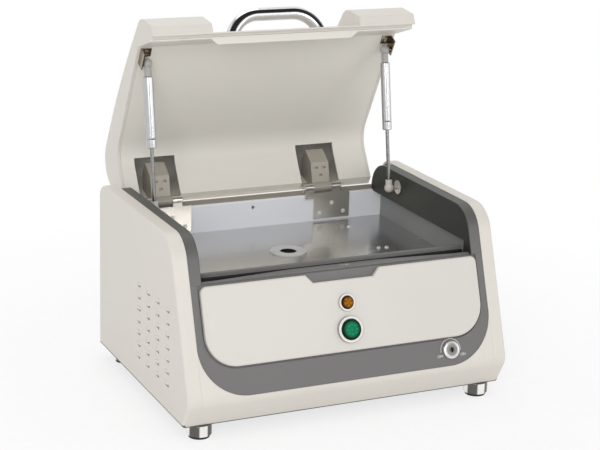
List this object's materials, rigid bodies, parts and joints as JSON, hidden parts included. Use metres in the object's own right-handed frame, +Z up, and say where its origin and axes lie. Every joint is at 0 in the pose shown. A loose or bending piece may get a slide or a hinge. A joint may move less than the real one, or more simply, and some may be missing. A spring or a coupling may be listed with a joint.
{
  "type": "benchtop x-ray fluorescence analyser",
  "caption": "Benchtop fluorescence analyser with a leaning front panel, a shielded sample chamber and a domed lid held open by gas struts.",
  "frame": {"origin": "on the bench, under the middle of the rectangle of the four feet", "axes": "+X to the operator's right, +Y from the front panel to the back, +Z up"},
  "size_m": [0.554, 0.5092, 0.5946],
  "materials": {
    "cream_paint": "satin powder coat",
    "lid_inner": "satin powder coat",
    "grey_trim": "fine matt",
    "white_panel": "satin",
    "dark_sheet": "matt",
    "rubber": "matt",
    "steel": "brushed",
    "bright": "polished",
    "aluminium": "satin",
    "amber_lens": "polished",
    "green_lens": "polished",
    "white_plastic": "moulded",
    "black_plastic": "moulded",
    "board": "solder mask"
  },
  "bodies": {
    "base": {"aperture_ring": "aluminium", "base_plate": "cream_paint", "bezel_front": "grey_trim", "bezel_rail_left": "grey_trim", "bezel_rail_right": "grey_trim", "button_bezel": "white_plastic", "chamber_rear_wall": "steel", "chamber_screws": "steel", "chamber_side_left": "dark_sheet", "chamber_side_right": "dark_sheet", "deck_plate": "steel", "detector": "aluminium", "fan_frame": "black_plastic", "feet": "bright", "filter_motor": "steel", "foot_pads": "rubber", "front_apron": "cream_paint", "front_panel": "white_panel", "front_sill": "grey_trim", "hinge_leaf_left": "steel", "hinge_leaf_right": "steel", "hinge_pins": "steel", "hv_supply": "aluminium", "interlock_sensor": "black_plastic", "key_switch_body": "bright", "lamp_bezel": "white_plastic", "lamp_lens": "amber_lens", "main_board": "board", "optics_block": "aluminium", "optics_stand": "aluminium", "power_inlet": "black_plastic", "power_supply": "aluminium", "rear_panel": "cream_paint", "side_shell_left": "cream_paint", "side_shell_right": "cream_paint", "sill_gasket": "rubber", "xray_tube": "steel"},
    "lid": {"lid_shell": "cream_paint", "lid_liner": "lid_inner", "handle": "bright", "hinge_block_left": "steel", "hinge_block_right": "steel", "strut_bracket_left": "steel", "strut_bracket_right": "steel"},
    "strut_cylinder_left": {"strut_tube_left": "bright", "strut_top_socket_left": "white_plastic"},
    "strut_cylinder_right": {"strut_tube_right": "bright", "strut_top_socket_right": "white_plastic"},
    "strut_piston_left": {"strut_rod_left": "bright", "strut_foot_socket_left": "white_plastic", "strut_foot_stud_left": "steel"},
    "strut_piston_right": {"strut_rod_right": "bright", "strut_foot_socket_right": "white_plastic", "strut_foot_stud_right": "steel"},
    "button": {"start_button": "green_lens"},
    "key": {"key_plug": "steel"},
    "rocker": {"power_rocker": "black_plastic"},
    "fan": {"fan_rotor": "black_plastic"},
    "wheel": {"filter_wheel": "aluminium"}
  },
  "joints": [
    {"name": "lid_hinge", "type": "hinge", "parent": "base", "child": "lid", "pos_m": [0, 0.202, 0.2625], "axis": [1, 0, 0], "range_deg": [0, 72]},
    {"name": "strut_swing_left", "type": "hinge", "parent": "lid", "child": "strut_cylinder_left", "pos_m": [-0.214, 0.145, 0.51105], "axis": [1, 0, 0], "range_deg": [0, 24.95]},
    {"name": "strut_slide_left", "type": "slide", "parent": "strut_cylinder_left", "child": "strut_piston_left", "axis": [0, 0.1651, 0.9863], "range_m": [0, 0.0782]},
    {"name": "strut_swing_right", "type": "hinge", "parent": "lid", "child": "strut_cylinder_right", "pos_m": [0.214, 0.145, 0.51105], "axis": [1, 0, 0], "range_deg": [0, 24.95]},
    {"name": "strut_slide_right", "type": "slide", "parent": "strut_cylinder_right", "child": "strut_piston_right", "axis": [0, 0.1651, 0.9863], "range_m": [0, 0.0782]},
    {"name": "button_press", "type": "slide", "parent": "base", "child": "button", "axis": [0, 0.9421, -0.3355], "range_m": [0, 0.003], "stiffness_N_per_m": 800, "springref_m": -0.002},
    {"name": "key_turn", "type": "hinge", "parent": "base", "child": "key", "pos_m": [0.175, -0.1961, 0.09379], "axis": [0, 0.9421, -0.3355], "range_deg": [0, 90]},
    {"name": "rocker_tilt", "type": "hinge", "parent": "base", "child": "rocker", "pos_m": [0.15, 0.203, 0.0995], "axis": [-1, 0, 0], "range_deg": [0, 14]},
    {"name": "fan_spin", "type": "hinge", "parent": "base", "child": "fan", "pos_m": [-0.15, 0.189, 0.11], "axis": [0, 1, 0], "continuous": true},
    {"name": "wheel_turn", "type": "hinge", "parent": "base", "child": "wheel", "pos_m": [0.042, 0.05, 0.113], "axis": [0, 0, 1], "continuous": true}
  ],
  "couplings": [
    {"joint": "strut_swing_left", "follows": "lid_hinge", "ratio": 0.34622},
    {"joint": "strut_slide_left", "follows": "lid_hinge", "m_per_rad": 0.062177},
    {"joint": "strut_swing_right", "follows": "lid_hinge", "ratio": 0.34622},
    {"joint": "strut_slide_right", "follows": "lid_hinge", "m_per_rad": 0.062177}
  ]
}
